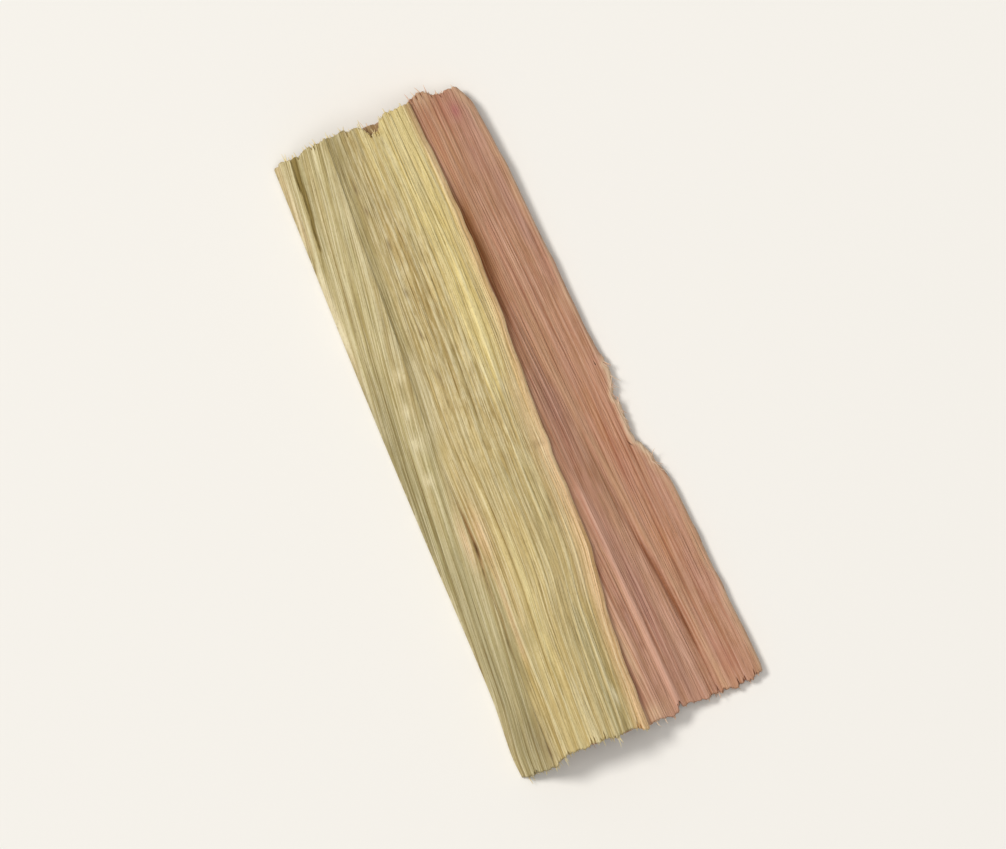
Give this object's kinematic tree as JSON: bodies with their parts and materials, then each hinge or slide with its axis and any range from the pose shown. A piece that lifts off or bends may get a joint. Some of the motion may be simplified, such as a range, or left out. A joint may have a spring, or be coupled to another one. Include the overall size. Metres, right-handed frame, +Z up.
{
  "type": "dried cut lemongrass stalk piece",
  "caption": "Short dried length of lemongrass stalk: a ribbed straw-coloured outer leaf sheath lying over a rose inner sheath, cut square at both ends.",
  "frame": {"origin": "middle of the piece's bounding box, on the surface that it lies on", "axes": "+Y along the stalk from its foot cut to its tip cut, +Z up from the surface, +X from the flange to the bare rose panel"},
  "size_m": [0.0072, 0.0186, 0.0021],
  "materials": {
    "outer_sheath": "dry ribbed leaf sheath, straw to grey-green, matt with a faint waxy sheen on the ribs",
    "inner_sheath": "dry leaf sheath, dusty rose with fine pink and orange streaks, matt"
  },
  "bodies": {
    "root": {"outer_sheath": "outer_sheath", "inner_sheath": "inner_sheath"}
  },
  "joints": []
}
